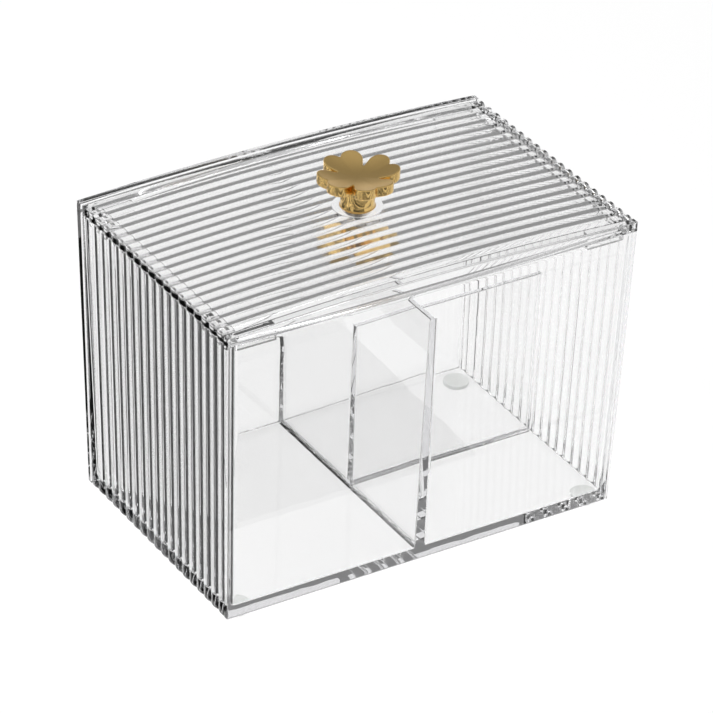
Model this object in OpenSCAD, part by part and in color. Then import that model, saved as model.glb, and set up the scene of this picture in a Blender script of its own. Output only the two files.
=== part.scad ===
// Clear lidded storage box with reeded ends, three compartments and a clover knob.
// The origin is on the ground below the middle of the box, +X runs along its length
// and -Y is its plain front face.

/* [Box] */
// Outer length at the rim, over the crests of the end reeds
body_length = 186; // [150:1:240]
// Outer depth at the rim
body_depth = 120.5; // [100:0.5:160]
// Height of the body from its underside to its rim
body_height = 127.5; // [105:0.5:180]
// Thickness of the outer walls
wall = 3.2; // [2.6:0.1:4]
// Thickness of the floor
floor_t = 4.7; // [2:0.1:5]
// How far each outer wall leans in between the rim and the underside
draft = 3.2; // [1:0.1:3.4]
// Radius of the upright inner corners at the rim
inner_r = 5; // [5:0.1:8]
// Bevel around the underside of the body
bottom_bevel = 0.8; // [0.3:0.1:1.5]
// Bevel between the floor and the inner walls
floor_bevel = 1.5; // [0.3:0.1:1.5]
// Width of the lead-in around the inside of the rim
rim_lead = 0.6; // [0.2:0.1:1]
// Height of the lead-in around the inside of the rim
rim_lead_h = 2.2; // [1:0.1:4]
// Radius of the round mark that the mould leaves under the middle of the floor
gate_r = 3.5; // [2:0.1:6]
// Depth of the mould's round mark
gate_depth = 0.5; // [0.2:0.1:1]

/* [Dividers] */
// Height of the long divider above the underside of the body
long_height = 112.5; // [60:0.5:118]
// Height of the cross divider above the underside of the body
cross_height = 79.5; // [40:0.5:118]
// Thickness of the dividers at their top edges
divider_top = 2.2; // [1.5:0.1:4]
// Thickness of the dividers at the floor
divider_foot = 4.2; // [3:0.1:8]

/* [Reeding] */
// Number of reeds on each end wall and of ribs on the lid
reed_count = 19; // [11:1:25]
// Height of a reed's crest above the groove beside it
reed_h = 0.7; // [0.6:0.1:1.6]
// Plain border between the outermost reed and the front or back face
reed_border = 3.6; // [2.5:0.1:8]
// Height of a lid rib's crest above the groove beside it
rib_h = 0.75; // [0.6:0.05:1.6]
// Width of the flat bottom of the groove between two lid ribs
rib_gap = 0.5; // [0.3:0.1:1]

/* [Lid] */
// Thickness of the lid at its left and right ends
lid_edge = 3.7; // [2.4:0.1:5]
// Radius of the lid's upright corners
lid_corner_r = 1; // [0.6:0.1:6]
// Rise of the lid's arched top in the middle of its length
crown = 2.8; // [1:0.1:6]
// Thickness of the arched panel over its hollow underside
lid_skin = 3.2; // [2.6:0.1:5]
// Width of the flat flange around the lid's underside
flange = 7; // [6.5:0.1:12]
// Thickness of the four corner lips
lip_t = 2; // [1.5:0.1:2.5]
// Length of each leg of a corner lip
lip_leg = 18.7; // [10:0.1:30]
// How far the corner lips hang below the lid
lip_h = 3.8; // [2:0.1:8]
// Gap between the corner lips and the inner walls
lip_gap = 0.4; // [0.3:0.05:0.6]
// Radius of the plain round boss under the knob
boss_r = 10.3; // [9:0.1:16]
// Height of the boss above the crests of the ribs
boss_rise = 0.1; // [0.1:0.1:1.5]
// Radius of the flat seat for the washer under the boss
seat_r = 6; // [5.5:0.1:8.5]
// How far the seat stands below the highest part of the hollow underside
seat_h = 0.3; // [0.2:0.1:1]

/* [Knob] */
// Distance from the knob's axis to the tip of a lobe
clover_r = 16.8; // [15:0.1:22]
// Radius of one lobe, two of which make a leaf
lobe_r = 4.5; // [4:0.1:5]
// Angle between a leaf's middle and the middle of its lobe
lobe_angle = 18.5; // [17:0.5:22]
// Thickness of the leaves
leaf_t = 4.6; // [3:0.1:7]
// How far the tips of the leaves stand above the middle of the dish
dish = 3; // [1:0.1:5]
// Radius of the neck
neck_r = 6.9; // [6:0.1:7.5]
// Width of the small flare around the neck's foot
neck_flare = 0.4; // [0.2:0.1:1.5]
// Height of the neck from the boss to the middle of the leaves
neck_h = 8.3; // [6:0.1:20]

/* [Screw] */
// Radius of the knob screw's shank
screw_r = 2; // [1.5:0.1:2.5]
// Depth of the screw in the knob
screw_grip = 8; // [5:0.5:9]
// Radius of the screw's domed head
head_r = 3.8; // [3.5:0.1:4.5]
// Height of the screw's domed head
head_h = 2.4; // [1.5:0.1:3]
// Width across the flats of the driving socket
socket_af = 2.5; // [2:0.1:3]
// Depth of the driving socket
socket_depth = 1.4; // [0.8:0.1:1.6]
// Radius of the washer
washer_r = 5; // [4.6:0.1:7]
// Thickness of the washer
washer_t = 1; // [0.5:0.1:2]
// Gap around the screw in the lid and the washer
screw_gap = 0.25; // [0.1:0.05:0.5]
// Gap around the screw in the knob
thread_gap = 0.05; // [0.02:0.01:0.1]

/* [Feet] */
// Radius of each round foot
foot_r = 5.5; // [4:0.1:8]
// Height of each foot
foot_h = 1.8; // [1:0.1:4]
// Distance from a foot's edge to the edge of the underside
foot_inset = 2.5; // [1:0.1:20]

/* [Hidden] */

// Overshoot of cutting tools past the faces they cut
over = 1;
// Smoothness of large arches and of small rounds
fine = 48;
arch_fine = 1200;

// Heights above the ground
base_z = foot_h;
floor_z = base_z + floor_t;
rim_z = base_z + body_height;

// Reeding
pitch = (body_depth - 2 * reed_border) / reed_count;
reed_r = (pow(pitch / 2, 2) + pow(reed_h, 2)) / (2 * reed_h);
rib_r = (pow((pitch - rib_gap) / 2, 2) + pow(rib_h, 2)) / (2 * rib_h);
reeded = pitch * reed_count;
lean = atan(draft / body_height);

// Lid arch: a circle in the XZ plane through both end edges and the middle of the crown
arch_r = (pow(body_length / 2, 2) + pow(crown, 2)) / (2 * crown);
crest_z = rim_z + lid_edge + crown;
arch_z = crest_z - arch_r;
ceiling_z = crest_z - lid_skin;
boss_z = crest_z + boss_rise;
seat_z = ceiling_z - seat_h;

// Knob
lobe_at = clover_r - lobe_r;
dish_r = (pow(clover_r, 2) + pow(dish, 2)) / (2 * dish);
dish_z = boss_z + neck_h + leaf_t;
knob_hole = screw_grip + over;
hole_tip = 1.2;

// Screw
head_dome_r = (pow(head_r, 2) + pow(head_h, 2)) / (2 * head_h);
washer_z = seat_z - washer_t;

// Centre of the foot at the corner given by the signs of x and y
function foot_at(sx, sy) = [
    sx * (body_length / 2 - draft - foot_inset - foot_r),
    sy * (body_depth / 2 - draft - foot_inset - foot_r)
];

// Distance by which a wall has leaned in at height z
function lean_at(z) = draft * (rim_z - z) / body_height;

// Place of reed i across the depth
function reed_y(i) = (i - (reed_count - 1) / 2) * pitch;

// Rounded rectangle, lx by ly, with corner radius r
module rounded_rect(lx, ly, r) {
    square([lx - 2 * r, ly], center = true);
    square([lx, ly - 2 * r], center = true);
    for (sx = [-1, 1], sy = [-1, 1])
        translate([sx * (lx / 2 - r), sy * (ly / 2 - r)])
            circle(r, $fn = fine);
}

// Solid with leaning walls and rounded upright corners. The profile lists [reach, height]
// pairs from the bottom up, with reach measured outwards from the corners' centre lines,
// which stand at plus and minus cx and cy.
module leaning_solid(profile, cx, cy) {
    low = profile[0][1];
    high = profile[len(profile) - 1][1];
    side = concat([[0, low]], profile, [[0, high]]);
    for (turn = [0, 1])
        rotate([0, 0, 180 * turn]) {
            rotate([90, 0, 0])
                translate([cx, 0, -cy])
                    linear_extrude(2 * cy)
                        polygon(side);
            rotate([90, 0, 90])
                translate([cy, 0, -cx])
                    linear_extrude(2 * cx)
                        polygon(side);
        }
    translate([-cx, -cy, low])
        cube([2 * cx, 2 * cy, high - low]);
    for (corner = [[1, 1, 0], [-1, 1, 90], [-1, -1, 180], [1, -1, 270]])
        translate([corner[0] * cx, corner[1] * cy, 0])
            rotate([0, 0, corner[2]])
                rotate_extrude(angle = 90, $fn = fine)
                    polygon(side);
}

// Upright section of the body, which is width wide at the rim
module body_section(width) {
    bevel_z = base_z + bottom_bevel;
    foot = width / 2 - draft - bottom_bevel;
    bevel = width / 2 - lean_at(bevel_z);
    polygon([
        [-foot, base_z],
        [foot, base_z],
        [bevel, bevel_z],
        [width / 2, rim_z],
        [-width / 2, rim_z],
        [-bevel, bevel_z]
    ]);
}

// Outer form of the body: where the section along its length meets the one across it
module body_block() {
    intersection() {
        rotate([90, 0, 0])
            linear_extrude(body_depth + over, center = true)
                body_section(body_length);
        rotate([90, 0, 90])
            linear_extrude(body_length + over, center = true)
                body_section(body_depth);
    }
}

// Whole inner space of the body before the dividers are left standing in it
module inner_space() {
    leaning_solid([
        [inner_r - lean_at(floor_z) - floor_bevel, floor_z],
        [inner_r - lean_at(floor_z + floor_bevel), floor_z + floor_bevel],
        [inner_r - lean_at(rim_z + over), rim_z + over]
    ], body_length / 2 - wall - inner_r, body_depth / 2 - wall - inner_r);
}

// Lead-in around the inside of the rim
module rim_lead_in() {
    start_z = rim_z - rim_lead_h;
    start_r = inner_r - lean_at(start_z);
    slope = (inner_r + rim_lead - start_r) / rim_lead_h;
    leaning_solid([
        [start_r - slope * over, start_z - over],
        [inner_r + rim_lead + slope * over, rim_z + over]
    ], body_length / 2 - wall - inner_r, body_depth / 2 - wall - inner_r);
}

// Upright slab that thins towards its top edge, along X, from x1 to x2
module divider_slab(x1, x2, top_z) {
    translate([x1, 0, 0])
        rotate([90, 0, 90])
            linear_extrude(x2 - x1)
                polygon([
                    [-divider_foot / 2, floor_z - over],
                    [divider_foot / 2, floor_z - over],
                    [divider_top / 2, top_z],
                    [-divider_top / 2, top_z]
                ]);
}

module dividers() {
    rotate([0, 0, 90])
        divider_slab(-body_depth / 2, body_depth / 2, base_z + long_height);
    divider_slab(0, body_length / 2, base_z + cross_height);
}

// Plan of what is cut away between the reeds of the end face at x = 0
module groove_plan() {
    difference() {
        translate([-reed_h, -reeded / 2])
            square([reed_h + over, reeded]);
        for (i = [0 : reed_count - 1])
            translate([-reed_r, reed_y(i)])
                circle(reed_r, $fn = fine);
    }
}

// Grooves in one end of the body, leaning with the wall
module end_grooves() {
    translate([body_length / 2, 0, rim_z])
        rotate([0, lean, 0])
            translate([0, 0, -body_height - 2 * over])
                linear_extrude(body_height + 4 * over)
                    groove_plan();
}

module box_body() {
    color([0.9, 0.93, 0.95, 0.5])
        difference() {
            body_block();
            difference() {
                inner_space();
                dividers();
            }
            rim_lead_in();
            for (side = [0, 1])
                mirror([side, 0, 0])
                    end_grooves();
            translate([0, 0, base_z - over])
                cylinder(h = over + gate_depth, r = gate_r, $fn = fine);
        }
}

// Section across the arched panel: border strips and ribs, with x as the arch radius
module rib_section() {
    difference() {
        translate([arch_r - crown - lid_edge - over, -body_depth / 2 - over])
            square([crown + lid_edge + over, body_depth + 2 * over]);
        difference() {
            translate([arch_r - rib_h, -reeded / 2])
                square([rib_h + over, reeded]);
            for (i = [0 : reed_count - 1])
                translate([arch_r - rib_r, reed_y(i)])
                    circle(rib_r, $fn = fine);
        }
    }
}

// Arched top of the lid, swept around the arch's centre line
module ribbed_arch() {
    half = asin(body_length / 2 / arch_r) + 0.1;
    translate([0, 0, arch_z])
        rotate([90, 0, 0])
            rotate([0, 0, 90 - half])
                rotate_extrude(angle = 2 * half, $fn = arch_fine)
                    rib_section();
}

// Outline of the lid in plan, reeded at both ends
module lid_plan() {
    difference() {
        rounded_rect(body_length, body_depth, lid_corner_r);
        for (side = [0, 1])
            mirror([side, 0, 0])
                translate([body_length / 2, 0])
                    groove_plan();
    }
}

// Hollow under the arched panel, inside the flange
module lid_hollow() {
    intersection() {
        translate([0, 0, rim_z - over])
            linear_extrude(crown + lid_edge)
                rounded_rect(body_length - 2 * flange, body_depth - 2 * flange, inner_r);
        translate([0, 0, arch_z])
            rotate([90, 0, 0])
                cylinder(h = body_depth, r = arch_r - lid_skin, center = true, $fn = arch_fine);
    }
}

// Plan of the four corner lips
module lip_plan() {
    out_x = body_length / 2 - wall - lip_gap;
    out_y = body_depth / 2 - wall - lip_gap;
    difference() {
        rounded_rect(2 * out_x, 2 * out_y, inner_r);
        rounded_rect(2 * (out_x - lip_t), 2 * (out_y - lip_t), inner_r - lip_t);
        square([2 * (out_x - lip_leg), body_depth], center = true);
        square([body_length, 2 * (out_y - lip_leg)], center = true);
    }
}

module lid() {
    color([0.9, 0.93, 0.95, 0.5])
        difference() {
            union() {
                difference() {
                    intersection() {
                        translate([0, 0, rim_z])
                            linear_extrude(crown + lid_edge + over)
                                lid_plan();
                        ribbed_arch();
                    }
                    lid_hollow();
                }
                translate([0, 0, rim_z - lip_h])
                    linear_extrude(lip_h + lid_edge / 2)
                        lip_plan();
                translate([0, 0, ceiling_z])
                    cylinder(h = boss_z - ceiling_z, r = boss_r, $fn = fine);
                translate([0, 0, seat_z])
                    cylinder(h = boss_z - seat_z, r = seat_r, $fn = fine);
            }
            translate([0, 0, rim_z - over])
                cylinder(h = boss_z - rim_z + 2 * over, r = screw_r + screw_gap, $fn = fine);
        }
}

// Plan of one leaf that points along +X: two lobes on a wedge
module leaf_plan() {
    half = lobe_angle + asin(lobe_r / lobe_at);
    reach = sqrt(pow(lobe_at, 2) - pow(lobe_r, 2));
    for (side = [-1, 1])
        rotate([0, 0, side * lobe_angle])
            translate([lobe_at, 0])
                circle(lobe_r, $fn = fine);
    polygon([
        [0, 0],
        [reach * cos(half), -reach * sin(half)],
        [lobe_at * cos(lobe_angle), 0],
        [reach * cos(half), reach * sin(half)]
    ]);
}

// Leaves as a dished plate of even thickness
module leaves() {
    intersection() {
        translate([0, 0, dish_z - leaf_t - over])
            linear_extrude(leaf_t + dish + 2 * over) {
                circle(neck_r, $fn = fine);
                for (turn = [0 : 90 : 270])
                    rotate([0, 0, turn])
                        leaf_plan();
            }
        difference() {
            translate([0, 0, dish_z - leaf_t + dish_r])
                sphere(dish_r, $fn = 2 * fine);
            translate([0, 0, dish_z + dish_r])
                sphere(dish_r, $fn = 2 * fine);
        }
    }
}

// Turned neck with its flared foot
module neck() {
    translate([0, 0, boss_z])
        rotate_extrude($fn = fine)
            difference() {
                square([neck_r + neck_flare, neck_h + leaf_t / 2]);
                translate([neck_r + neck_flare, neck_flare])
                    circle(neck_flare, $fn = fine);
                translate([neck_r, neck_flare])
                    square([neck_flare + over, neck_h + leaf_t]);
            }
}

module knob() {
    color([0.79, 0.63, 0.31])
        difference() {
            union() {
                leaves();
                neck();
            }
            translate([0, 0, boss_z - over])
                cylinder(h = knob_hole + over, r = screw_r + thread_gap, $fn = fine);
            translate([0, 0, boss_z + knob_hole])
                cylinder(h = hole_tip, r1 = screw_r + thread_gap, r2 = 0, $fn = fine);
        }
}

module knob_screw() {
    color([0.72, 0.72, 0.74])
        difference() {
            union() {
                translate([0, 0, washer_z])
                    cylinder(h = boss_z + screw_grip - washer_z, r = screw_r, $fn = fine);
                intersection() {
                    translate([0, 0, washer_z - head_h + head_dome_r])
                        sphere(head_dome_r, $fn = fine);
                    translate([0, 0, washer_z - head_h])
                        cylinder(h = head_h, r = head_r, $fn = fine);
                }
            }
            translate([0, 0, washer_z - head_h - over])
                cylinder(h = over + socket_depth, r = socket_af / sqrt(3), $fn = 6);
        }
}

module screw_washer() {
    color([0.72, 0.72, 0.74])
        translate([0, 0, washer_z])
            difference() {
                cylinder(h = washer_t, r = washer_r, $fn = fine);
                translate([0, 0, -over])
                    cylinder(h = washer_t + 2 * over, r = screw_r + screw_gap, $fn = fine);
            }
}

module foot(sx, sy) {
    color([0.85, 0.87, 0.88])
        translate(foot_at(sx, sy))
            cylinder(h = foot_h, r = foot_r, $fn = fine);
}

box_body();
lid();
knob();
knob_screw();
screw_washer();
foot(-1, -1);  // foot_front_left
foot(1, -1);  // foot_front_right
foot(-1, 1);  // foot_back_left
foot(1, 1);  // foot_back_right
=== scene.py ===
"""Looks of the clear storage box with reeded ends and a gold clover knob.

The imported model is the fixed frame. The clear mouldings, the knob and the feet are modelled
here again as smooth closed meshes in the same place, because light bends through them. All
lengths in the classes are millimetres; they turn to metres when a mesh is made.
"""

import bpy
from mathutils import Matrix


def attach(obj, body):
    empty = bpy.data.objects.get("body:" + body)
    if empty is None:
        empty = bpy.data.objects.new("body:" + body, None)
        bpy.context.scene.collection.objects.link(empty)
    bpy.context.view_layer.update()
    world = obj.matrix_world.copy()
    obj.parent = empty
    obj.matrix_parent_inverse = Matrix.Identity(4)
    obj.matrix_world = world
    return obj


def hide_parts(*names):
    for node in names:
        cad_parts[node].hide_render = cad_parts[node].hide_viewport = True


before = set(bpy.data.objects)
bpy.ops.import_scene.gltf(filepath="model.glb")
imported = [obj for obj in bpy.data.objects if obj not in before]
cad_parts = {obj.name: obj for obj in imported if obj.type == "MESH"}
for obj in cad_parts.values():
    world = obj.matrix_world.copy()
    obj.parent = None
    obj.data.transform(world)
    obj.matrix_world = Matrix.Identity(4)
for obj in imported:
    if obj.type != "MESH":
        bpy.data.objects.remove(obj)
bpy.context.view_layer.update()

import logging
import math
from collections.abc import Callable, Iterable, Sequence
from dataclasses import dataclass, field
from enum import Enum

import bmesh
import bpy
from mathutils import Matrix, Vector

LOG = logging.getLogger("storage_box")
MM = 0.001
WHITE = (1.0, 1.0, 1.0, 1.0)
FOOT_X, FOOT_Y = 81.8, 49.05
Point2 = tuple[float, float]
Point3 = tuple[float, float, float]


class Body(Enum):
    """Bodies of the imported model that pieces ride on."""

    BOX = "box"
    LID = "lid_assembly"


class Slot(Enum):
    """Material slots of the record."""

    CLEAR = "clear_plastic"
    GOLD = "gold_plate"
    STEEL = "steel"
    PAD = "clear_rubber"


def srgb(code: str) -> tuple[float, float, float, float]:
    """Turns an sRGB hex colour to linear light.

    Args:
        code: Colour such as "#C9A45C".

    Returns:
        Linear red, green and blue, and an alpha of 1.
    """
    parts = [int(code[i : i + 2], 16) / 255 for i in (1, 3, 5)]
    linear = [c / 12.92 if c <= 0.04045 else ((c + 0.055) / 1.055) ** 2.4 for c in parts]
    return (linear[0], linear[1], linear[2], 1.0)


def add_node(
    tree: bpy.types.NodeTree,
    kind: str,
    settings: dict[str | int, object] | None = None,
    links: dict[str | int, bpy.types.NodeSocket] | None = None,
) -> bpy.types.Node:
    """Adds one node with its settings and its incoming links.

    Args:
        tree: Node tree that gets the node.
        kind: Blender's name for the node type.
        settings: Node attributes, or input sockets by name or number, with their values.
        links: Input sockets by name or number, with the output sockets that feed them.

    Returns:
        The new node.
    """
    node = tree.nodes.new(kind)
    for name, value in (settings or {}).items():
        if isinstance(name, int) or name in node.inputs:
            node.inputs[name].default_value = value
        else:
            setattr(node, name, value)
    for name, source in (links or {}).items():
        tree.links.new(source, node.inputs[name])
    return node


def new_material(name: str) -> tuple[bpy.types.Material, bpy.types.NodeTree]:
    """Makes an empty node material.

    Args:
        name: Name of the material.

    Returns:
        The material and its cleared node tree.
    """
    made = bpy.data.materials.new(name)
    made.use_nodes = True
    made.node_tree.nodes.clear()
    return made, made.node_tree


def noise(tree: bpy.types.NodeTree, size_mm: float, detail: float) -> bpy.types.Node:
    """Adds noise of a given size on the object's own coordinates.

    Args:
        tree: Node tree that gets the nodes.
        size_mm: Size of the largest grains.
        detail: Number of finer layers.

    Returns:
        The noise node.
    """
    place = add_node(tree, "ShaderNodeTexCoord")
    return add_node(
        tree,
        "ShaderNodeTexNoise",
        {"Scale": 1 / (size_mm * MM), "Detail": detail},
        {"Vector": place.outputs["Object"]},
    )


def relief(
    tree: bpy.types.NodeTree, pattern: bpy.types.NodeSocket, height_mm: float, share: float = 1.0
) -> bpy.types.NodeSocket:
    """Turns a pattern to fine relief.

    Args:
        tree: Node tree that gets the node.
        pattern: Height pattern from 0 to 1.
        height_mm: Height of the relief.
        share: Strength of the effect.

    Returns:
        The changed normal.
    """
    bump = add_node(
        tree,
        "ShaderNodeBump",
        {"Strength": share, "Distance": height_mm * MM},
        {"Height": pattern},
    )
    return bump.outputs["Normal"]


def around_value(
    tree: bpy.types.NodeTree, pattern: bpy.types.NodeSocket, middle: float, spread: float
) -> bpy.types.NodeSocket:
    """Lets a value vary around its middle by a share of it.

    Args:
        tree: Node tree that gets the node.
        pattern: Pattern from 0 to 1.
        middle: Value at the pattern's middle.
        spread: Share by which it goes below and above.

    Returns:
        The varied value.
    """
    ranged = add_node(
        tree,
        "ShaderNodeMapRange",
        {"To Min": middle * (1 - spread), "To Max": middle * (1 + spread)},
        {"Value": pattern},
    )
    return ranged.outputs["Result"]


@dataclass(frozen=True)
class PolishedAcrylic:
    """Clear acrylic, injection moulded in a polished mould.

    To the eye it is bright glass with faint waves from the melt's flow, and it darkens
    only where light runs a long way inside it.
    """

    tint: str = "#FCFCFC"
    ior: float = 1.49
    roughness: float = 0.0
    absorb: str = "#CBCBCE"
    absorb_per_m: float = 6.0
    wave_mm: float = 16.0
    wave_height_mm: float = 0.03

    def build(self) -> bpy.types.Material:
        """Makes the material.

        Returns:
            The finished material.
        """
        made, tree = new_material("polished_clear_acrylic")
        flow = noise(tree, self.wave_mm, 1.0)
        flow.inputs["Roughness"].default_value = 0.4
        shader = add_node(
            tree,
            "ShaderNodeBsdfPrincipled",
            {
                "Base Color": srgb(self.tint),
                "IOR": self.ior,
                "Roughness": self.roughness,
                "Transmission Weight": 1.0,
            },
            {"Normal": relief(tree, flow.outputs["Fac"], self.wave_height_mm)},
        )
        depth = add_node(
            tree,
            "ShaderNodeVolumeAbsorption",
            {"Color": srgb(self.absorb), "Density": self.absorb_per_m},
        )
        add_node(
            tree,
            "ShaderNodeOutputMaterial",
            {},
            {"Surface": shader.outputs["BSDF"], "Volume": depth.outputs["Volume"]},
        )
        return made


@dataclass(frozen=True)
class PolishedGoldPlate:
    """Gold plate on a cast zinc knob, polished on its sides and brushed satin in the dish.

    The sides and neck mirror the studio in crisp bands; the dish, which looks up, spreads
    the light to one even warm tone.
    """

    colour: str = "#E6C27C"
    polish: float = 0.05
    satin: float = 0.34
    wave_mm: float = 7.0
    wave_height_mm: float = 0.004
    grain_mm: float = 0.6
    dish_starts: float = 0.6
    dish_full: float = 0.85

    def build(self) -> bpy.types.Material:
        """Makes the material.

        Returns:
            The finished material.
        """
        made, tree = new_material("polished_gold_plate")
        place = add_node(tree, "ShaderNodeTexCoord")
        wipe = noise(tree, self.grain_mm, 3.0)
        axes = add_node(
            tree, "ShaderNodeSeparateXYZ", {}, {"Vector": place.outputs["Normal"]}
        )
        finish = add_node(
            tree,
            "ShaderNodeMapRange",
            {
                "From Min": self.dish_starts,
                "From Max": self.dish_full,
                "To Min": self.polish,
                "To Max": self.satin,
            },
            {"Value": axes.outputs["Z"]},
        )
        wear = around_value(tree, wipe.outputs["Fac"], 1.0, 0.2)
        gloss = add_node(
            tree,
            "ShaderNodeMath",
            {"operation": "MULTIPLY"},
            {0: finish.outputs["Result"], 1: wear},
        )
        waves = noise(tree, self.wave_mm, 1.0)
        shader = add_node(
            tree,
            "ShaderNodeBsdfPrincipled",
            {"Base Color": srgb(self.colour), "Metallic": 1.0},
            {
                "Roughness": gloss.outputs["Value"],
                "Normal": relief(tree, waves.outputs["Fac"], self.wave_height_mm),
            },
        )
        add_node(tree, "ShaderNodeOutputMaterial", {}, {"Surface": shader.outputs["BSDF"]})
        return made


@dataclass(frozen=True)
class TurnedNickelSteel:
    """Nickel-plated steel of the screw and washer, turned on a lathe.

    Fine rings around the axis spread its highlight a little.
    """

    colour: str = "#C6C4C0"
    roughness: float = 0.28
    ring_mm: float = 0.25
    ring_height_mm: float = 0.02

    def build(self) -> bpy.types.Material:
        """Makes the material.

        Returns:
            The finished material.
        """
        made, tree = new_material("turned_nickel_steel")
        place = add_node(tree, "ShaderNodeTexCoord")
        rings = add_node(
            tree,
            "ShaderNodeTexWave",
            {
                "wave_type": "RINGS",
                "rings_direction": "Z",
                "Scale": 1 / (self.ring_mm * MM) / 20,
                "Distortion": 0.4,
            },
            {"Vector": place.outputs["Object"]},
        )
        shader = add_node(
            tree,
            "ShaderNodeBsdfPrincipled",
            {"Base Color": srgb(self.colour), "Metallic": 1.0},
            {
                "Roughness": around_value(tree, rings.outputs["Fac"], self.roughness, 0.2),
                "Normal": relief(tree, rings.outputs["Fac"], self.ring_height_mm, 0.4),
            },
        )
        add_node(tree, "ShaderNodeOutputMaterial", {}, {"Surface": shader.outputs["BSDF"]})
        return made


@dataclass(frozen=True)
class MouldedPadRubber:
    """Clear soft vinyl of the stick-on feet, moulded with a satin face.

    It passes light but blurs it, so each foot shows as a pale grey disc.
    """

    colour: str = "#D2D4D2"
    ior: float = 1.5
    roughness: float = 0.55
    grain_mm: float = 0.5
    grain_height_mm: float = 0.03
    clear_share: float = 0.3

    def build(self) -> bpy.types.Material:
        """Makes the material.

        Returns:
            The finished material.
        """
        made, tree = new_material("moulded_clear_vinyl")
        grain = noise(tree, self.grain_mm, 2.0)
        shader = add_node(
            tree,
            "ShaderNodeBsdfPrincipled",
            {
                "Base Color": srgb(self.colour),
                "IOR": self.ior,
                "Roughness": self.roughness,
                "Transmission Weight": self.clear_share,
            },
            {"Normal": relief(tree, grain.outputs["Fac"], self.grain_height_mm, 0.5)},
        )
        add_node(tree, "ShaderNodeOutputMaterial", {}, {"Surface": shader.outputs["BSDF"]})
        return made


@dataclass
class MeshDraft:
    """Points and faces of one piece while it is being drawn, in millimetres."""

    points: list[Point3] = field(default_factory=list)
    faces: list[list[int]] = field(default_factory=list)

    def ring(self, points: Iterable[Point3]) -> list[int]:
        """Adds points and returns their numbers."""
        first = len(self.points)
        self.points.extend(points)
        return list(range(first, len(self.points)))

    def bridge(self, low: Sequence[int], high: Sequence[int], closed: bool = True) -> None:
        """Joins two rows of points of equal length with quads.

        Args:
            low: First row.
            high: Second row, above the first when the row runs counter-clockwise.
            closed: Whether each row is a closed loop.
        """
        count = len(low)
        for i in range(count if closed else count - 1):
            j = (i + 1) % count
            self.faces.append([low[i], low[j], high[j], high[i]])

    def cap(self, ring: Sequence[int], flip: bool = False) -> None:
        """Closes a ring with one face."""
        self.faces.append(list(reversed(ring)) if flip else list(ring))

    def fan(self, ring: Sequence[int], height: float, flip: bool = False) -> None:
        """Closes a ring with triangles to a tip on the Z axis."""
        (tip,) = self.ring([(0.0, 0.0, height)])
        for i, start in enumerate(ring):
            end = ring[(i + 1) % len(ring)]
            self.faces.append([end, start, tip] if flip else [start, end, tip])

    def make(self, name: str, weld_mm: float = 0.0005) -> bpy.types.Object:
        """Turns the draft into an object with its normals outwards.

        Args:
            name: Name of the new object.
            weld_mm: Distance below which points become one.

        Returns:
            The new object, in metres.
        """
        mesh = bpy.data.meshes.new(name)
        scaled = [(x * MM, y * MM, z * MM) for x, y, z in self.points]
        mesh.from_pydata(scaled, [], self.faces)
        work = bmesh.new()
        work.from_mesh(mesh)
        bmesh.ops.remove_doubles(work, verts=work.verts, dist=weld_mm * MM)
        bmesh.ops.recalc_face_normals(work, faces=work.faces)
        work.to_mesh(mesh)
        work.free()
        made = bpy.data.objects.new(name, mesh)
        bpy.context.scene.collection.objects.link(made)
        return made


def lathe(name: str, profile: Sequence[Point2], steps: int = 96) -> bpy.types.Object:
    """Turns a profile of [radius, height] points round the Z axis.

    Args:
        name: Name of the new object.
        profile: Points from the axis at the bottom to the axis at the top.
        steps: Number of steps round the axis.

    Returns:
        The new closed object.
    """
    draft = MeshDraft()
    rings = []
    for radius, height in profile[1:-1]:
        rings.append(
            draft.ring(
                (
                    radius * math.cos(math.tau * i / steps),
                    radius * math.sin(math.tau * i / steps),
                    height,
                )
                for i in range(steps)
            )
        )
    for low, high in zip(rings, rings[1:]):
        draft.bridge(low, high)
    draft.fan(rings[0], profile[0][1], flip=True)
    draft.fan(rings[-1], profile[-1][1])
    return draft.make(name)


def combine(target: bpy.types.Object, tool: bpy.types.Object, operation: str) -> None:
    """Applies an exact boolean and removes the tool.

    Args:
        target: Object that is changed.
        tool: Object that is joined to it or cut from it.
        operation: "UNION" or "DIFFERENCE".
    """
    step = target.modifiers.new("step", "BOOLEAN")
    step.operation = operation
    step.solver = "EXACT"
    step.object = tool
    bpy.context.view_layer.update()
    graph = bpy.context.evaluated_depsgraph_get()
    result = bpy.data.meshes.new_from_object(target.evaluated_get(graph))
    target.modifiers.remove(step)
    old = target.data
    target.data = result
    bpy.data.meshes.remove(old)
    bpy.data.objects.remove(tool)


def soften(piece: bpy.types.Object, angle_deg: float = 32.0) -> None:
    """Smooths a mesh except at its sharp edges, with normals led by the large faces.

    Args:
        piece: Object whose mesh is shaded.
        angle_deg: Edges that turn by more than this stay sharp.
    """
    work = bmesh.new()
    work.from_mesh(piece.data)
    for face in work.faces:
        face.smooth = True
    for edge in work.edges:
        edge.smooth = not (
            len(edge.link_faces) == 2 and edge.calc_face_angle() > math.radians(angle_deg)
        )
    work.to_mesh(piece.data)
    work.free()
    weigh = piece.modifiers.new("large_faces_lead", "WEIGHTED_NORMAL")
    weigh.weight = 100
    weigh.keep_sharp = True


def report_mesh(piece: bpy.types.Object) -> None:
    """Logs how many faces a mesh has and how many of its edges are open."""
    work = bmesh.new()
    work.from_mesh(piece.data)
    left = [edge for edge in work.edges if len(edge.link_faces) != 2]
    LOG.info("%s: %d faces, %d open edges", piece.name, len(work.faces), len(left))
    work.free()


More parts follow.
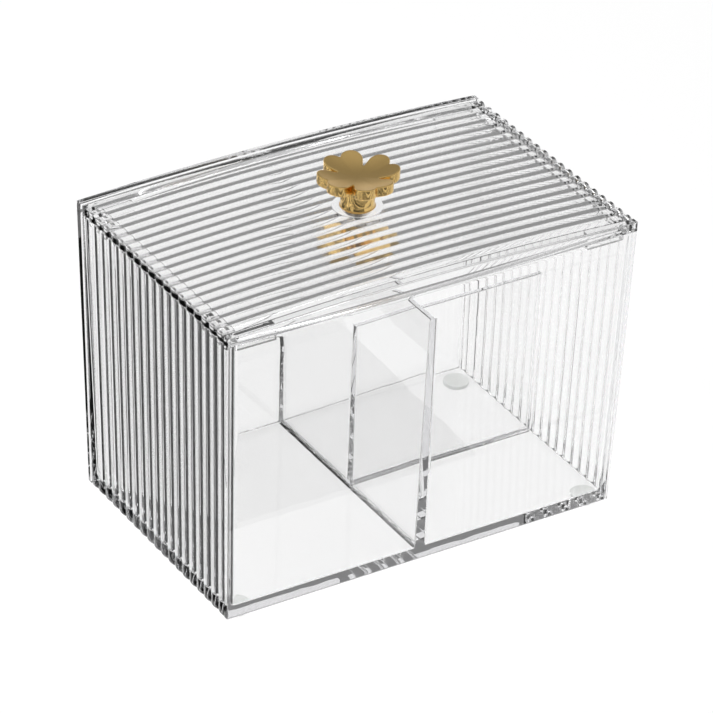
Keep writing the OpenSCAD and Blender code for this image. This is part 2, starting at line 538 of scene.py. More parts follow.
@dataclass(frozen=True)
class BoxForm:
    """Sizes that the body and the lid share."""

    length: float = 186.0
    depth: float = 120.5
    body_height: float = 127.5
    foot_height: float = 1.8
    wall: float = 3.2
    reeds: int = 19
    reed_height: float = 0.7
    border: float = 3.6
    corner: float = 0.8

    @property
    def base_z(self) -> float:
        """Height of the body's underside."""
        return self.foot_height

    @property
    def rim_z(self) -> float:
        """Height of the body's rim."""
        return self.base_z + self.body_height

    @property
    def band(self) -> float:
        """Half of the reeded width."""
        return self.depth / 2 - self.border

    @property
    def pitch(self) -> float:
        """Distance between two reeds."""
        return 2 * self.band / self.reeds

    def reed_sink(self, share: float) -> float:
        """Depth of a reed's face below its crest, at a share from -1 to 1 of its half width."""
        half = self.pitch / 2
        radius = (half**2 + self.reed_height**2) / (2 * self.reed_height)
        return radius - math.sqrt(radius**2 - (share * half) ** 2)

    def plan(
        self, half_x: float, half_y: float, corner: float, squeeze: float, per_reed: int
    ) -> list[Point2]:
        """Outline of a level cut with reeded ends.

        Args:
            half_x: Half of the length over the reeds.
            half_y: Half of the depth.
            corner: Radius of the corners.
            squeeze: Factor on the reeds' places across the depth.
            per_reed: Steps across one reed.

        Returns:
            Points counter-clockwise from the front end of the right side.
        """
        side: list[Point2] = []
        edge = self.band * squeeze
        centre = half_y - corner
        for i in range(self.reeds):
            middle = (i - (self.reeds - 1) / 2) * self.pitch
            steps = range(per_reed + 1) if i == 0 else range(1, per_reed + 1)
            for j in steps:
                share = 2 * j / per_reed - 1
                y = (middle + share * self.pitch / 2) * squeeze
                over = max(0.0, abs(y) - centre)
                x = half_x - max(
                    self.reed_sink(share), corner - math.sqrt(max(corner**2 - over**2, 0.0))
                )
                side.append((x, y))
        start = math.asin(max(0.0, min((edge - centre) / corner, 0.95)))
        arc: list[Point2] = []
        if start <= 0.0:
            arc.append((half_x, edge))
        for j in range(9):
            angle = start + (math.pi / 2 - start) * j / 8
            arc.append(
                (
                    half_x - corner + corner * math.cos(angle),
                    centre + corner * math.sin(angle),
                )
            )
        if start > 0.0:
            arc.insert(0, arc[0])
        right = [(x, -y) for x, y in reversed(arc)] + side + arc
        return right + [(-x, -y) for x, y in right]


@dataclass
class DividedBody:
    """The clear body: floor, walls, end reeds and the two dividers, one moulding."""

    form: BoxForm
    floor: float = 4.67
    draft: float = 3.2
    reed_draw: float = 0.03
    bottom_round: float = 1.2
    inner_corner: float = 2.4
    floor_fillet: float = 1.1
    divider_fillet: float = 1.0
    divider_top: float = 2.2
    divider_foot: float = 4.2
    divider_round: float = 0.45
    long_height: float = 112.5
    cross_height: float = 79.5
    lead: float = 0.8
    lead_height: float = 2.6

    def lean(self, z: float) -> float:
        """Distance by which a wall has leaned in at height z."""
        return self.draft * (self.form.rim_z - z) / self.form.body_height

    def half_thickness(self, z: float, top: float) -> float:
        """Half of a divider's thickness at height z, below its top."""
        floor_z = self.form.base_z + self.floor
        share = (top - z) / (self.form.base_z + self.long_height - floor_z)
        return (self.divider_top + (self.divider_foot - self.divider_top) * share) / 2

    def outer_ring(self, draft: MeshDraft, z: float, inset: float) -> list[int]:
        """Adds one level ring of the outside."""
        lean = self.lean(z)
        points = self.form.plan(
            self.form.length / 2 - lean - inset,
            self.form.depth / 2 - lean - inset,
            max(self.form.corner - inset, 0.6),
            1 - self.reed_draw * lean / self.draft,
            12,
        )
        return draft.ring((x, y, z) for x, y in points)

    def outside(self, draft: MeshDraft) -> None:
        """Draws the outside with its rounded bottom edge.

        Args:
            draft: Draft that gets the outside.
        """
        form = self.form
        rings = []
        for i in range(7):
            angle = math.pi / 2 * i / 6
            z = form.base_z + self.bottom_round * (1 - math.cos(angle))
            rings.append(self.outer_ring(draft, z, self.bottom_round * (1 - math.sin(angle))))
        for share in (0.02, 0.25, 0.5, 0.75, 0.985):
            rings.append(self.outer_ring(draft, form.base_z + form.body_height * share, 0.0))
        rings.append(self.outer_ring(draft, form.rim_z - 0.3, 0.0))
        rings.append(self.outer_ring(draft, form.rim_z - 0.08, 0.1))
        rings.append(self.outer_ring(draft, form.rim_z, 0.3))
        for low, high in zip(rings, rings[1:]):
            draft.bridge(low, high)
        draft.cap(rings[0], flip=True)

    def corner_arc(
        self, cx: float, cy: float, radius: float, quarter: int, steps: int = 6
    ) -> list[Point2]:
        """Quarter arc of a level loop round a centre, counter-clockwise."""
        return [
            (
                cx + radius * math.cos(math.pi / 2 * (quarter + j / steps)),
                cy + radius * math.sin(math.pi / 2 * (quarter + j / steps)),
            )
            for j in range(steps + 1)
        ]

    def loop(
        self,
        x0: float,
        x1: float,
        y0: float,
        y1: float,
        radii: tuple[float, float, float, float],
        marks: dict[int, list[Point2]] | None = None,
    ) -> list[Point2]:
        """Rounded rectangle with extra points on its sides.

        Args:
            x0: Left side.
            x1: Right side.
            y0: Front side.
            y1: Back side.
            radii: Corner radii: front right, back right, back left, front left.
            marks: Extra points on the right, back, left and front sides.

        Returns:
            Points counter-clockwise from the front right corner.
        """
        marks = marks or {}
        out: list[Point2] = []
        spots = (
            (x1 - radii[0], y0 + radii[0], 3),
            (x1 - radii[1], y1 - radii[1], 0),
            (x0 + radii[2], y1 - radii[2], 1),
            (x0 + radii[3], y0 + radii[3], 2),
        )
        for side, (cx, cy, quarter) in enumerate(spots):
            out += self.corner_arc(cx, cy, radii[side], quarter)
            out += marks.get(side, [])
        return out

    def inner_half(self, z: float) -> Point2:
        """Half length and half depth of the inner space at height z."""
        form = self.form
        above = max(0.0, (z - (form.rim_z - self.lead_height)) / self.lead_height)
        flare = self.lead * (1 - math.sqrt(max(0.0, 1 - above**2)))
        take = form.wall + self.lean(z) - flare
        return form.length / 2 - take, form.depth / 2 - take

    def compartment(
        self,
        draft: MeshDraft,
        levels: Sequence[float],
        outline: Callable[[float, float], list[Point2]],
    ) -> list[int]:
        """Draws a compartment's walls from its top level down to its rounded floor.

        Args:
            draft: Draft that gets the walls.
            levels: Heights from the top down, above the floor's fillet.
            outline: Gives the loop at a height, taken in by an inset.

        Returns:
            The top ring.
        """
        floor_z = self.form.base_z + self.floor
        rings = [draft.ring((x, y, z) for x, y in outline(z, 0.0)) for z in levels]
        for i in range(7):
            angle = math.pi / 2 * i / 6
            z = floor_z + self.floor_fillet * (1 - math.sin(angle))
            inset = self.floor_fillet * (1 - math.cos(angle))
            rings.append(draft.ring((x, y, z) for x, y in outline(z, inset)))
        for high, low in zip(rings, rings[1:]):
            draft.bridge(high, low)
        draft.cap(rings[-1])
        return rings[0]

    def inside(self, draft: MeshDraft) -> None:
        """Draws the inside with its dividers.

        Args:
            draft: Draft that gets the inside.
        """
        form = self.form
        floor_z = form.base_z + self.floor
        long_z = form.base_z + self.long_height
        cross_z = form.base_z + self.cross_height
        fillet, corner = self.divider_fillet, self.inner_corner

        def half(z: float, top: float) -> float:
            """Half thickness of a divider with its rounded top edge."""
            near = max(0.0, z - (top - self.divider_round)) / self.divider_round
            return self.half_thickness(z, top) - self.divider_round * (
                1 - math.sqrt(max(0.0, 1 - near**2))
            )

        def whole(z: float) -> list[Point2]:
            """Loop of the undivided space, with points where the dividers start."""
            hx, hy = self.inner_half(z)
            at = half(min(z, long_z), long_z) + fillet
            cross = half(cross_z, cross_z) + fillet
            return self.loop(
                -hx, hx, -hy, hy, (corner,) * 4,
                {0: [(hx, -cross), (hx, cross)], 1: [(at, hy), (-at, hy)],
                 3: [(-at, -hy), (at, -hy)]},
            )

        def left(z: float, inset: float) -> list[Point2]:
            """Loop of the left compartment."""
            hx, hy = self.inner_half(z)
            wide = max(corner - inset, 0.3)
            tight = max(fillet - inset, 0.15)
            return self.loop(
                -hx + inset, -half(z, long_z) - inset, -hy + inset, hy - inset,
                (tight, tight, wide, wide),
            )

        def right(z: float) -> list[Point2]:
            """Loop of the right half above the cross divider."""
            hx, hy = self.inner_half(z)
            low = half(z, long_z)
            cross = half(cross_z, cross_z) + fillet
            return self.loop(
                low, hx, -hy, hy, (corner, corner, fillet, fillet),
                {0: [(hx, -cross), (hx, cross)], 2: [(low, cross), (low, -cross)]},
            )

        def quarter(z: float, inset: float, back: bool) -> list[Point2]:
            """Loop of a right compartment, in front of or behind the cross divider."""
            hx, hy = self.inner_half(z)
            wide = max(corner - inset, 0.3)
            tight = max(fillet - inset, 0.15)
            near, far = half(z, cross_z) + inset, hy - inset
            x0, x1 = half(z, long_z) + inset, hx - inset
            if back:
                return self.loop(x0, x1, near, far, (tight, wide, tight, tight))
            return self.loop(x0, x1, -far, -near, (wide, tight, tight, tight))

        steps = [self.divider_round * s for s in (0.0, 0.05, 0.2, 0.5, 1.0)]
        shares = (0.0, 0.02, 0.08, 0.18, 0.32, 0.5, 0.75, 1.0)
        lead = [form.rim_z - self.lead_height * share for share in shares]
        rings = [draft.ring((x, y, z) for x, y in whole(z)) for z in [*lead, 122.0, long_z]]
        for high, low in zip(rings, rings[1:]):
            draft.bridge(high, low)
        low_z = floor_z + self.floor_fillet
        span = [long_z - s for s in steps]
        top_left = self.compartment(draft, [*span, 85.0, 45.0, low_z + 0.5], left)
        right_levels = [*span, (long_z + cross_z) / 2, cross_z]
        right_rings = [draft.ring((x, y, z) for x, y in right(z)) for z in right_levels]
        for high, low in zip(right_rings, right_rings[1:]):
            draft.bridge(high, low)
        low_span = [cross_z - s for s in steps]
        front = self.compartment(
            draft, [*low_span, 45.0, low_z + 0.5], lambda z, inset: quarter(z, inset, False)
        )
        back = self.compartment(
            draft, [*low_span, 45.0, low_z + 0.5], lambda z, inset: quarter(z, inset, True)
        )
        # Top of the long divider, between the left loop and the right one
        right_top = right_rings[0]
        draft.faces.append([*reversed(top_left[0:14]), *reversed(right_top[16:32])])
        # Top of the cross divider, between the two low loops
        draft.faces.append(
            [*reversed(front[7:21]), *reversed([*back[21:28], *back[0:7]])]
        )

    def build(self, finish: bpy.types.Material) -> bpy.types.Object:
        """Makes the body.

        Args:
            finish: Material of the moulding.

        Returns:
            The finished object.
        """
        draft = MeshDraft()
        self.outside(draft)
        self.inside(draft)
        body = draft.make("box_body_moulding")
        self.close_rim(body)
        body.data.materials.append(finish)
        soften(body)
        report_mesh(body)
        return body

    def close_rim(self, body: bpy.types.Object) -> None:
        """Fills the flat rim between the outer and the inner ring."""
        work = bmesh.new()
        work.from_mesh(body.data)
        open_edges = [e for e in work.edges if len(e.link_faces) == 1]
        bmesh.ops.triangle_fill(work, use_beauty=True, edges=open_edges)
        bmesh.ops.recalc_face_normals(work, faces=work.faces)
        work.to_mesh(body.data)
        work.free()


@dataclass
class CrownedLid:
    """The clear lid: crowned and ribbed panel, boss, corner lips and hollow underside."""

    form: BoxForm
    edge: float = 3.7
    crown: float = 2.8
    skin: float = 3.2
    flange: float = 7.0
    rib_height: float = 0.75
    rib_gap: float = 0.2
    corner: float = 0.8
    edge_round: float = 0.4
    lip: float = 2.0
    lip_leg: float = 18.7
    lip_height: float = 3.8
    lip_gap: float = 0.4
    lip_corner: float = 3.0
    boss_r: float = 10.3
    boss_rise: float = 0.1
    seat_r: float = 6.0
    seat_height: float = 0.3
    hole_r: float = 2.25
    seat_gap: float = 0.06
    end_strip: float = 4.6
    arch_steps: int = 40
    roof_round: float = 1.6

    @property
    def arch_r(self) -> float:
        """Radius of the crown."""
        return ((self.form.length / 2) ** 2 + self.crown**2) / (2 * self.crown)

    @property
    def crest_z(self) -> float:
        """Height of the crown's middle."""
        return self.form.rim_z + self.edge + self.crown

    def arch(self, x: float) -> float:
        """Height of the crown at x."""
        return self.crest_z - (self.arch_r - math.sqrt(self.arch_r**2 - x**2))

    def rib_rows(self) -> list[Point2]:
        """Places across the depth and how far the top lies below the crown there."""
        half = (self.form.pitch - self.rib_gap) / 2
        radius = (half**2 + self.rib_height**2) / (2 * self.rib_height)
        rows: list[Point2] = []
        band, edge = self.form.band, self.form.depth / 2
        for i in range(self.form.reeds):
            middle = (i - (self.form.reeds - 1) / 2) * self.form.pitch
            for j in range(13):
                step = (2 * j / 12 - 1) * half
                rows.append((middle + step, radius - math.sqrt(radius**2 - step**2)))
        border: list[Point2] = [(band, self.rib_height), (band + 0.02, 0.0)]
        centre = edge - self.corner
        border.append((centre, 0.0))
        for j in range(1, 9):
            y = centre + self.corner * math.sin(math.pi / 2 * j / 8)
            over = max(0.0, y - (edge - self.edge_round))
            drop = self.edge_round - math.sqrt(max(self.edge_round**2 - over**2, 0.0))
            border.append((y, drop))
        return [(-y, s) for y, s in reversed(border)] + rows + border

    def end_x(self, y: float) -> float:
        """Half length of the lid at a place across the depth."""
        form = self.form
        over = max(0.0, abs(y) - (form.depth / 2 - self.corner))
        sink = self.corner - math.sqrt(max(self.corner**2 - over**2, 0.0))
        if abs(y) <= form.band + 0.001:
            place = (abs(y) + form.pitch / 2) / form.pitch
            share = 2 * (place - math.floor(place)) - 1
            sink = max(sink, form.reed_sink(share))
        return form.length / 2 - sink

    def panel(self) -> bpy.types.Object:
        """Makes the solid panel with its ribs, before it is hollowed."""
        form = self.form
        draft = MeshDraft()
        reach, steps = form.length / 2 - self.end_strip, self.arch_steps
        columns = [reach * math.sin(math.pi / 2 * (2 * i / steps - 1)) for i in range(steps + 1)]
        bottom_z = form.rim_z + self.seat_gap
        tops, lows = [], []
        for y, sink in self.rib_rows():
            end = self.end_x(y)
            xs = [-end, *columns, end]
            tops.append(draft.ring((x, y, self.arch(x) - sink) for x in xs))
            lows.append(draft.ring((x, y, bottom_z) for x in (-end, end)))
        for near, far in zip(tops, tops[1:]):
            draft.bridge(near, far, closed=False)
        for i in range(len(tops) - 1):
            draft.faces.append([lows[i][0], lows[i + 1][0], tops[i + 1][0], tops[i][0]])
            draft.faces.append([lows[i + 1][1], lows[i][1], tops[i][-1], tops[i + 1][-1]])
            draft.faces.append([lows[i][0], lows[i][1], lows[i + 1][1], lows[i + 1][0]])
        draft.faces.append([lows[0][1], lows[0][0], *tops[0]])
        draft.faces.append([lows[-1][0], lows[-1][1], *reversed(tops[-1])])
        return draft.make("lid_moulding", weld_mm=0.002)

    def hollow(self) -> bpy.types.Object:
        """Makes the cutter for the underside, which follows the crown."""
        form = self.form
        draft = MeshDraft()
        hx, hy = form.length / 2 - self.flange, form.depth / 2 - self.flange
        xs = [hx * (2 * i / 48 - 1) for i in range(49)]
        roof = self.roof_round
        rings = []
        for y, drop in ((-hy, roof), (-hy + 0.25, 0.85), (-hy + 0.8, 0.25), (-hy + roof, 0.0),
                        (hy - roof, 0.0), (hy - 0.8, 0.25), (hy - 0.25, 0.85), (hy, roof)):
            rings.append(draft.ring((x, y, self.arch(x) - self.skin - drop * 0.6) for x in xs))
        for near, far in zip(rings, rings[1:]):
            draft.bridge(near, far, closed=False)
        floor = form.rim_z - 1.0
        around = (
            rings[0]
            + [r[-1] for r in rings[1:-1]]
            + list(reversed(rings[-1]))
            + [r[0] for r in reversed(rings[1:-1])]
        )
        base = draft.ring((draft.points[i][0], draft.points[i][1], floor) for i in around)
        draft.bridge(base, around)
        draft.cap(base, flip=True)
        return draft.make("underside_hollow")

    def lips(self, sx: int, sy: int) -> bpy.types.Object:
        """Makes one L-shaped corner lip.

        Args:
            sx: Sign of x at the corner.
            sy: Sign of y at the corner.

        Returns:
            The lip as a closed object.
        """
        form = self.form
        out_x = form.length / 2 - form.wall - self.lip_gap
        out_y = form.depth / 2 - form.wall - self.lip_gap
        outer, inner = self.lip_corner, self.lip_corner - self.lip
        plan: list[Point2] = [(out_x - self.lip_leg, out_y)]
        plan += [
            (
                out_x - outer + outer * math.sin(math.pi / 2 * j / 8),
                out_y - outer + outer * math.cos(math.pi / 2 * j / 8),
            )
            for j in range(9)
        ]
        plan += [(out_x, out_y - self.lip_leg), (out_x - self.lip, out_y - self.lip_leg)]
        plan += [
            (
                out_x - outer + inner * math.cos(math.pi / 2 * j / 8),
                out_y - outer + inner * math.sin(math.pi / 2 * j / 8),
            )
            for j in range(9)
        ]
        plan += [(out_x - self.lip_leg, out_y - self.lip)]
        draft = MeshDraft()
        low, high = form.rim_z - self.lip_height, form.rim_z + 1.5
        rings = [draft.ring((sx * x, sy * y, z) for x, y in plan) for z in (low, high)]
        draft.bridge(*rings)
        draft.cap(rings[0], flip=True)
        draft.cap(rings[1])
        return draft.make("corner_lip")

    def build(self, finish: bpy.types.Material) -> bpy.types.Object:
        """Makes the lid.

        Args:
            finish: Material of the moulding.

        Returns:
            The finished object.
        """
        lid = self.panel()
        combine(lid, self.hollow(), "DIFFERENCE")
        for sx in (-1, 1):
            for sy in (-1, 1):
                combine(lid, self.lips(sx, sy), "UNION")
        top = self.crest_z + self.boss_rise
        low, seat = self.crest_z - self.skin - 0.02, self.seat_height - 0.04
        boss = lathe(
            "boss",
            [(0.0, low - seat), (self.seat_r, low - seat), (self.seat_r, low), (self.boss_r, low),
             (self.boss_r, top - 0.2), (self.boss_r - 0.06, top - 0.06),
             (self.boss_r - 0.2, top), (0.0, top)],
        )
        combine(lid, boss, "UNION")
        hole = lathe(
            "hole",
            [(0.0, low - 3), (self.hole_r, low - 3), (self.hole_r, top + 2), (0.0, top + 2)],
        )
        combine(lid, hole, "DIFFERENCE")
        lid.data.materials.clear()
        lid.data.materials.append(finish)
        soften(lid)
        report_mesh(lid)
        return lid


@dataclass
class CloverKnob:
    """The gold knob: four heart-shaped leaves, dished, on a round neck that flares at its foot."""

    base_z: float = 135.9
    tip_r: float = 16.8
    lobe_r: float = 4.5
    lobe_angle: float = 18.5
    leaf: float = 4.6
    dish: float = 3.0
    neck_r: float = 6.9
    foot_r: float = 7.3
    neck_height: float = 8.3
    notch_r: float = 7.9
    rim_round: float = 0.6
    crease: float = 0.05

    def reach(self, angle: float) -> float:
        """Radius of the clover's outline in a direction.

        Args:
            angle: Direction in radians, zero in the middle of a leaf.

        Returns:
            Distance from the axis to the outline.
        """
        away = self.tip_r - self.lobe_r
        turn = (angle + math.pi / 4) % (math.pi / 2) - math.pi / 4
        lobe = abs(turn) - math.radians(self.lobe_angle)
        limit = math.asin(self.lobe_r / away)
        if abs(lobe) <= limit:
            return away * math.cos(lobe) + math.sqrt(
                max(self.lobe_r**2 - (away * math.sin(lobe)) ** 2, 0.0)
            )
        tangent = math.sqrt(away**2 - self.lobe_r**2)
        edge = math.pi / 4 - (math.radians(self.lobe_angle) + limit)
        slope = tangent * math.tan(edge) / (tangent - self.notch_r)
        return self.notch_r * slope / (slope - math.tan(math.pi / 4 - abs(turn)))

    def outline(self, count: int = 400) -> list[Point2]:
        """Outline of the clover with even spacing and eased notches."""
        fine = 16000
        dense = []
        for i in range(fine):
            angle = math.tau * i / fine
            r = self.reach(angle)
            dense.append((r * math.cos(angle), r * math.sin(angle)))
        total = [0.0]
        for (ax, ay), (bx, by) in zip(dense, dense[1:] + dense[:1]):
            total.append(total[-1] + math.hypot(bx - ax, by - ay))
        points, j = [], 0
        for i in range(count):
            want = total[-1] * i / count
            while total[j + 1] < want:
                j += 1
            points.append(dense[j])
        for _ in range(6):
            points = [
                (
                    (points[i - 1][0] + 2 * points[i][0] + points[(i + 1) % count][0]) / 4,
                    (points[i - 1][1] + 2 * points[i][1] + points[(i + 1) % count][1]) / 4,
                )
                for i in range(count)
            ]
        return points

    def dish_height(self, x: float, y: float) -> float:
        """Height of the dished top over its middle, with the creases between leaves."""
        r = math.hypot(x, y)
        bowl = self.dish * (r / self.tip_r) ** 2
        turn = (math.atan2(y, x) + math.pi / 4) % (math.pi / 2) - math.pi / 4
        across_notch = r * math.sin(math.pi / 4 - abs(turn))
        across_vein = r * math.sin(abs(turn))
        fold = self.crease * math.exp(-((across_notch / 1.3) ** 2)) * min(1.0, r / 3)
        vein = 0.5 * self.crease * math.exp(-((across_vein / 0.9) ** 2)) * min(1.0, r / 6)
        return bowl - fold - vein

    def leaves(self) -> bpy.types.Object:
        """Makes the leaves as a closed plate."""
        draft = MeshDraft()
        plan = self.outline()
        count = len(plan)
        middle = self.base_z + self.neck_height + self.leaf
        normals = []
        for i in range(count):
            dx = plan[(i + 1) % count][0] - plan[i - 1][0]
            dy = plan[(i + 1) % count][1] - plan[i - 1][1]
            size = math.hypot(dx, dy)
            normals.append((dy / size, -dx / size))

        def taken_in(inset: float) -> list[Point2]:
            """Outline moved inwards."""
            return [
                (x - nx * inset, y - ny * inset) for (x, y), (nx, ny) in zip(plan, normals)
            ]

        def top(x: float, y: float) -> float:
            """Height of the upper face."""
            return middle + self.dish_height(x, y)

        def under(x: float, y: float) -> float:
            """Height of the lower face."""
            return middle - self.leaf + self.dish * (math.hypot(x, y) / self.tip_r) ** 2

        rings = []
        edge = taken_in(self.rim_round)
        for share in (0.08, 0.2, 0.35, 0.5, 0.65, 0.8, 0.92, 1.0):
            rings.append(
                draft.ring((x * share, y * share, top(x * share, y * share)) for x, y in edge)
            )
        for i in range(1, 6):
            angle = math.pi / 2 * i / 5
            moved = taken_in(self.rim_round * (1 - math.sin(angle)))
            rings.append(
                draft.ring(
                    (x, y, top(x, y) - self.rim_round * (1 - math.cos(angle))) for x, y in moved
                )
            )
        for i in range(5, -1, -1):
            angle = math.pi / 2 * i / 5
            moved = taken_in(self.rim_round * (1 - math.sin(angle)))
            rings.append(
                draft.ring(
                    (x, y, under(x, y) + self.rim_round * (1 - math.cos(angle))) for x, y in moved
                )
            )
        for share in (0.8, 0.55, 0.3):
            rings.append(
                draft.ring((x * share, y * share, under(x * share, y * share)) for x, y in edge)
            )
        for high, low in zip(rings, rings[1:]):
            draft.bridge(low, high)
        draft.fan(rings[0], top(0, 0))
        draft.fan(rings[-1], under(0, 0), flip=True)
        return draft.make("clover_knob")

    def neck(self) -> bpy.types.Object:
        """Makes the turned neck with its flared foot."""
        flare = self.foot_r - self.neck_r
        low = self.base_z + 0.05
        profile: list[Point2] = [(0.0, low), (self.foot_r - 0.15, low), (self.foot_r, low + 0.2)]
        for i in range(9):
            angle = math.pi / 2 * i / 8
            profile.append(
                (
                    self.foot_r - flare * math.sin(angle),
                    self.base_z + 0.3 + flare * (1 - math.cos(angle)),
                )
            )
        top = self.base_z + self.neck_height + self.leaf / 2
        profile += [(self.neck_r, self.base_z + 4), (self.neck_r, top), (0.0, top)]
        return lathe("neck", profile, 128)

    def build(self, finish: bpy.types.Material) -> bpy.types.Object:
        """Makes the knob.

        Args:
            finish: Material of the plated metal.

        Returns:
            The finished object.
        """
        knob = self.leaves()
        combine(knob, self.neck(), "UNION")
        knob.data.materials.clear()
        knob.data.materials.append(finish)
        soften(knob, 40.0)
        report_mesh(knob)
        return knob


@dataclass
class RoundFoot:
    """One stick-on foot: a thin round pad with an eased edge and a shallow dimple."""

    name: str
    x: float
    y: float
    radius: float = 5.5
    height: float = 1.8

    def build(self, finish: bpy.types.Material) -> bpy.types.Object:
        """Makes the foot.

        Args:
            finish: Material of the pad.

        Returns:
            The finished object.
        """
        r, h = self.radius, self.height
        profile = [
            (0.0, 0.25), (r * 0.55, 0.1), (r * 0.78, 0.0), (r - 0.5, 0.0), (r - 0.15, 0.12),
            (r, 0.45), (r - 0.05, h - 0.2), (r - 0.2, h - 0.06), (0.0, h - 0.06),
        ]
        foot = lathe(self.name + "_pad", profile)
        foot.data.transform(Matrix.Translation((self.x * MM, self.y * MM, 0.0)))
        foot.data.materials.append(finish)
        soften(foot, 40.0)
        return foot


@dataclass
class Studio:
    """White table, pale surroundings, soft lamps and the camera."""

    eye_mm: Point3 = (-806.488, -1281.506, 993.876)
    azimuth: float = 32.2533
    elevation: float = 31.5049
    roll: float = 1.9349
    lens: float = 223.29
    table_m: float = 6.0
    sky: tuple[Point2, ...] = ((0.1, 1.0), (0.34, 0.26), (0.68, 0.26), (0.85, 0.6))
    table_glow: float = 0.8
    table_tone: float = 0.9
    card_tone: float = 0.05
    card_z: float = 0.3

    def table(self) -> None:
        """Makes the white table, which shows white and still takes the object's shadow."""
        draft = MeshDraft()
        half = self.table_m * 500
        draft.cap(
            draft.ring([(-half, -half, 0), (half, -half, 0), (half, half, 0), (-half, half, 0)])
        )
        floor = draft.make("white_table")
        made, tree = new_material("matt_white_table")
        path = add_node(tree, "ShaderNodeLightPath")
        seen = path.outputs["Is Camera Ray"]
        for ray in ("Is Transmission Ray", "Is Glossy Ray"):
            either = add_node(
                tree,
                "ShaderNodeMath",
                {"operation": "MAXIMUM"},
                {0: seen, 1: path.outputs[ray]},
            )
            seen = either.outputs[0]
        share = add_node(
            tree, "ShaderNodeMath", {"operation": "MULTIPLY", 1: self.table_glow}, {0: seen}
        )
        tone = self.table_tone
        matt = add_node(tree, "ShaderNodeBsdfDiffuse", {"Color": (tone, tone, tone, 1.0)})
        glow = add_node(tree, "ShaderNodeEmission", {"Color": WHITE, "Strength": 1.0})
        both = add_node(
            tree,
            "ShaderNodeMixShader",
            {},
            {0: share.outputs[0], 1: matt.outputs[0], 2: glow.outputs[0]},
        )
        add_node(tree, "ShaderNodeOutputMaterial", {}, {"Surface": both.outputs[0]})
        floor.data.materials.append(made)

    def dark_card(self, name: str, x: Point2, y: Point2) -> None:
        """Lays out a black card that only mirrors and clear plastic see.

        Args:
            name: Name of the card.
            x: Its ends along x in millimetres.
            y: Its ends along y in millimetres.
        """
        draft = MeshDraft()
        z = self.card_z
        draft.cap(draft.ring([(x[0], y[0], z), (x[1], y[0], z), (x[1], y[1], z), (x[0], y[1], z)]))
        card = draft.make(name)
        made, tree = new_material(name + "_paper")
        fibre = add_node(tree, "ShaderNodeTexNoise", {"Scale": 400.0})
        tone = around_value(tree, fibre.outputs["Fac"], self.card_tone, 0.2)
        paper = add_node(tree, "ShaderNodeEmission", {}, {"Color": tone})
        add_node(tree, "ShaderNodeOutputMaterial", {}, {"Surface": paper.outputs[0]})
        card.data.materials.append(made)
        card.visible_camera = card.visible_diffuse = card.visible_shadow = False

    def surroundings(self) -> None:
        """Makes the world: white near the horizon, dimmer overhead, white to the camera."""
        world = bpy.data.worlds.new("studio")
        bpy.context.scene.world = world
        world.use_nodes = True
        tree = world.node_tree
        tree.nodes.clear()
        place = add_node(tree, "ShaderNodeTexCoord")
        axes = add_node(tree, "ShaderNodeSeparateXYZ", {}, {"Vector": place.outputs["Generated"]})
        ramp = add_node(tree, "ShaderNodeValToRGB", {}, {"Fac": axes.outputs["Z"]})
        stops = ramp.color_ramp.elements
        for position, tone in self.sky[2:]:
            stops.new(position)
        for stop, (position, tone) in zip(stops, self.sky):
            stop.position, stop.color = position, (tone, tone, tone, 1.0)
        path = add_node(tree, "ShaderNodeLightPath")
        around = add_node(
            tree, "ShaderNodeBackground", {"Strength": 1.0}, {"Color": ramp.outputs["Color"]}
        )
        white = add_node(tree, "ShaderNodeBackground", {"Color": WHITE, "Strength": 1.0})
        both = add_node(
            tree,
            "ShaderNodeMixShader",
            {},
            {0: path.outputs["Is Camera Ray"], 1: around.outputs[0], 2: white.outputs[0]},
        )
        add_node(tree, "ShaderNodeOutputWorld", {}, {"Surface": both.outputs[0]})

    def lamp(self, name: str, place: Point3, size: Point2, watts: float) -> None:
        """Adds a soft rectangular lamp that faces the box.

        Args:
            name: Name of the lamp.
            place: Place in metres.
            size: Width and height in metres.
            watts: Power.
        """
        data = bpy.data.lights.new(name, "AREA")
        data.shape = "RECTANGLE"
        data.size, data.size_y = size
        data.energy = watts
        made = bpy.data.objects.new(name, data)
        bpy.context.scene.collection.objects.link(made)
        made.location = place
        aim = Vector((0.0, 0.0, 0.08)) - Vector(place)
        made.rotation_euler = aim.to_track_quat("-Z", "Y").to_euler()
        made.visible_glossy = False

    def camera(self) -> None:
        """Makes the camera at the photo's place and tilt."""
        data = bpy.data.cameras.new("camera")
        data.sensor_width = 36.0
        data.lens = self.lens
        data.shift_x, data.shift_y = -0.0007, 0.0007
        data.clip_start, data.clip_end = 0.01, 50.0
        made = bpy.data.objects.new("camera", data)
        bpy.context.scene.collection.objects.link(made)
        az, el = math.radians(self.azimuth), math.radians(self.elevation)
        ahead = Vector((math.sin(az) * math.cos(el), math.cos(az) * math.cos(el), -math.sin(el)))
        level = Vector((math.cos(az), -math.sin(az), 0.0))
        upright = level.cross(ahead)
        roll = math.radians(self.roll)
        right = level * math.cos(roll) + upright * math.sin(roll)
        up = right.cross(ahead)
        turn = Matrix((right, up, -ahead)).transposed().to_4x4()
        made.matrix_world = Matrix.Translation([c * MM for c in self.eye_mm]) @ turn
        bpy.context.scene.camera = made

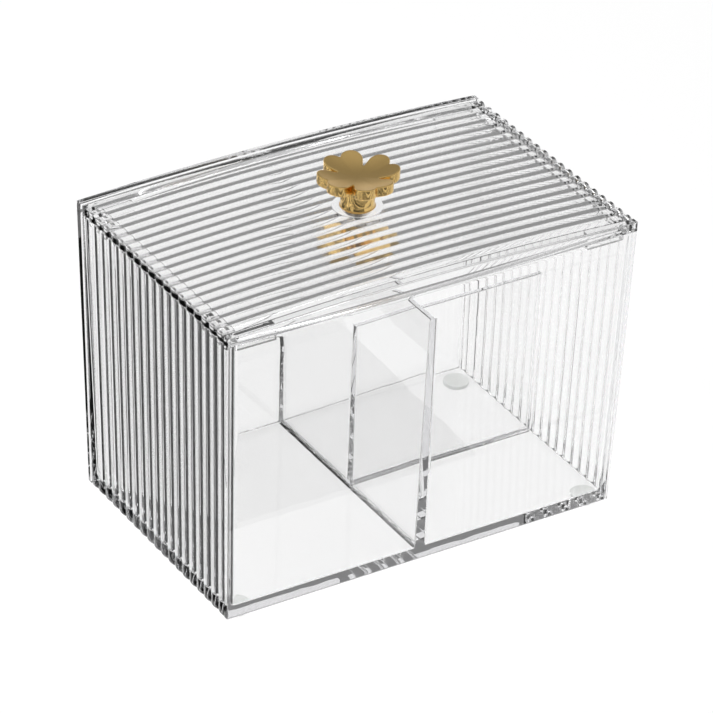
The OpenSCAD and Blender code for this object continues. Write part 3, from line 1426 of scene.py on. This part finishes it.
    def build(self) -> None:
        """Sets up the whole studio."""
        scene = bpy.context.scene
        scene.view_settings.view_transform = "Standard"
        scene.cycles.max_bounces = 32
        scene.cycles.transmission_bounces = 32
        scene.cycles.glossy_bounces = 16
        scene.cycles.transparent_max_bounces = 16
        self.table()
        self.surroundings()
        self.dark_card("left_card", (-300.0, -93.6), (-70.0, 230.0))
        self.dark_card("front_card", (-330.0, 60.0), (-330.0, -110.0))
        self.lamp("left_softbox", (-0.9, 0.1, 0.9), (0.8, 0.8), 9.0)
        self.lamp("top_softbox", (0.1, 0.35, 1.3), (0.9, 0.5), 9.0)
        self.camera()


def place(piece: bpy.types.Object, body: Body, slot: Slot, *nodes: str) -> None:
    """Seats a piece on its body in place of its CAD nodes.

    Args:
        piece: The finished object.
        body: Body that it rides on.
        slot: Material slot that it stands for.
        nodes: CAD nodes that it replaces.
    """
    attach(piece, body.value)
    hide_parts(*nodes)
    piece.visible_shadow = slot is not Slot.CLEAR
    LOG.info("%s rides on %s for %s", piece.name, body.value, ", ".join(nodes))


def dress_node(node: str, finish: bpy.types.Material) -> None:
    """Gives a CAD node that stays its finish."""
    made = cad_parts[node]
    made.data.materials.clear()
    made.data.materials.append(finish)
    LOG.info("%s keeps its CAD mesh", node)


def main() -> None:
    """Builds every piece in order and reports it."""
    logging.basicConfig(level=logging.INFO, format="%(message)s")
    form = BoxForm()
    acrylic = PolishedAcrylic().build()
    gold = PolishedGoldPlate().build()
    steel = TurnedNickelSteel().build()
    vinyl = MouldedPadRubber().build()

    place(DividedBody(form).build(acrylic), Body.BOX, Slot.CLEAR, "box_body")
    place(CrownedLid(form).build(acrylic), Body.LID, Slot.CLEAR, "lid")
    place(CloverKnob().build(gold), Body.LID, Slot.GOLD, "knob")
    for side, sx in (("left", -1), ("right", 1)):
        for end, sy in (("front", -1), ("back", 1)):
            node = f"foot_{end}_{side}"
            foot = RoundFoot(node, sx * FOOT_X, sy * FOOT_Y).build(vinyl)
            place(foot, Body.BOX, Slot.PAD, node)
    dress_node("knob_screw", steel)
    dress_node("screw_washer", steel)
    Studio().build()


if __name__ == "__main__":
    main()
